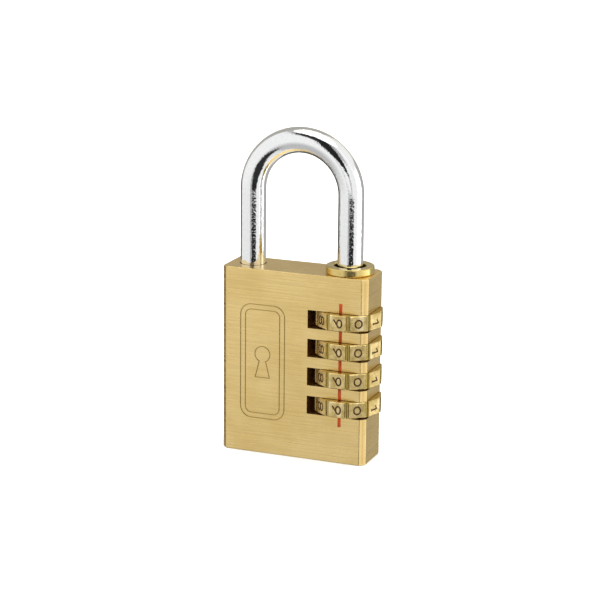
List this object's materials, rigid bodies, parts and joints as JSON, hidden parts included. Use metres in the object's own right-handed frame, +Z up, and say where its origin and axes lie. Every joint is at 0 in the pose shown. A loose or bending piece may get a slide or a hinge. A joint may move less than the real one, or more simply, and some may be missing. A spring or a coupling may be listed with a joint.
{
  "type": "combination padlock",
  "caption": "Resettable combination padlock: solid brass block body, chromed steel shackle, and thumb dials stacked around the shackle's long leg at one side",
  "frame": {"origin": "centre of the flat bottom face of the body", "axes": "+Z up along the shackle legs, +X towards the side where the dials stand out, -Y the front with the index line"},
  "size_m": [0.04, 0.0164, 0.0822],
  "materials": {
    "body_brass": "satin, horizontal brush lines",
    "polished_brass": "polished",
    "dial_brass": "worn polish",
    "turned_brass": "as turned",
    "chrome_steel": "mirror chrome plate on hardened steel",
    "bright_steel": "bright",
    "red_enamel": "red enamel paint in a groove",
    "dark_ink": "dark brown paint in engraving"
  },
  "bodies": {
    "lock_body": {"lock_body": "body_brass", "shackle_collar": "polished_brass", "index_line": "red_enamel", "reset_spring": "bright_steel", "detent_spring_1": "bright_steel", "detent_spring_2": "bright_steel", "detent_spring_3": "bright_steel", "detent_spring_4": "bright_steel"},
    "shackle": {"shackle": "chrome_steel"},
    "spring_washer": {"spring_washer": "bright_steel"},
    "dial_1": {"dial_1": "dial_brass", "numeral_ink_1": "dark_ink"},
    "clutch_sleeve_1": {"clutch_sleeve_1": "turned_brass"},
    "detent_ball_1": {"detent_ball_1": "bright_steel"},
    "dial_2": {"dial_2": "dial_brass", "numeral_ink_2": "dark_ink"},
    "clutch_sleeve_2": {"clutch_sleeve_2": "turned_brass"},
    "detent_ball_2": {"detent_ball_2": "bright_steel"},
    "dial_3": {"dial_3": "dial_brass", "numeral_ink_3": "dark_ink"},
    "clutch_sleeve_3": {"clutch_sleeve_3": "turned_brass"},
    "detent_ball_3": {"detent_ball_3": "bright_steel"},
    "dial_4": {"dial_4": "dial_brass", "numeral_ink_4": "dark_ink"},
    "clutch_sleeve_4": {"clutch_sleeve_4": "turned_brass"},
    "detent_ball_4": {"detent_ball_4": "bright_steel"}
  },
  "joints": [
    {"name": "shackle_lift", "type": "slide", "parent": "lock_body", "child": "shackle", "axis": [0, 0, 1], "range_m": [0, 0.0055]},
    {"name": "reset_press", "type": "slide", "parent": "lock_body", "child": "spring_washer", "axis": [0, 0, -1], "range_m": [0, 0.002], "stiffness_N_per_m": 900, "springref_m": -0.004, "deforming": ["reset_spring"]},
    {"name": "dial_1_turn", "type": "hinge", "parent": "lock_body", "child": "dial_1", "pos_m": [0.0125, 0, 0.03605], "axis": [0, 0, 1], "continuous": true},
    {"name": "sleeve_1_drop", "type": "slide", "parent": "dial_1", "child": "clutch_sleeve_1", "axis": [0, 0, -1], "range_m": [0, 0.002]},
    {"name": "detent_1_click", "type": "slide", "parent": "lock_body", "child": "detent_ball_1", "axis": [1, 0, 0], "range_m": [0, 0.0003], "deforming": ["detent_spring_1"]},
    {"name": "dial_2_turn", "type": "hinge", "parent": "lock_body", "child": "dial_2", "pos_m": [0.0125, 0, 0.02875], "axis": [0, 0, 1], "continuous": true},
    {"name": "sleeve_2_drop", "type": "slide", "parent": "dial_2", "child": "clutch_sleeve_2", "axis": [0, 0, -1], "range_m": [0, 0.002]},
    {"name": "detent_2_click", "type": "slide", "parent": "lock_body", "child": "detent_ball_2", "axis": [1, 0, 0], "range_m": [0, 0.0003], "deforming": ["detent_spring_2"]},
    {"name": "dial_3_turn", "type": "hinge", "parent": "lock_body", "child": "dial_3", "pos_m": [0.0125, 0, 0.02145], "axis": [0, 0, 1], "continuous": true},
    {"name": "sleeve_3_drop", "type": "slide", "parent": "dial_3", "child": "clutch_sleeve_3", "axis": [0, 0, -1], "range_m": [0, 0.002]},
    {"name": "detent_3_click", "type": "slide", "parent": "lock_body", "child": "detent_ball_3", "axis": [1, 0, 0], "range_m": [0, 0.0003], "deforming": ["detent_spring_3"]},
    {"name": "dial_4_turn", "type": "hinge", "parent": "lock_body", "child": "dial_4", "pos_m": [0.0125, 0, 0.01415], "axis": [0, 0, 1], "continuous": true},
    {"name": "sleeve_4_drop", "type": "slide", "parent": "dial_4", "child": "clutch_sleeve_4", "axis": [0, 0, -1], "range_m": [0, 0.002]},
    {"name": "detent_4_click", "type": "slide", "parent": "lock_body", "child": "detent_ball_4", "axis": [1, 0, 0], "range_m": [0, 0.0003], "deforming": ["detent_spring_4"]}
  ],
  "couplings": [
    {"joint": "sleeve_1_drop", "follows": "reset_press", "ratio": 1},
    {"joint": "sleeve_2_drop", "follows": "reset_press", "ratio": 1},
    {"joint": "sleeve_3_drop", "follows": "reset_press", "ratio": 1},
    {"joint": "sleeve_4_drop", "follows": "reset_press", "ratio": 1}
  ]
}
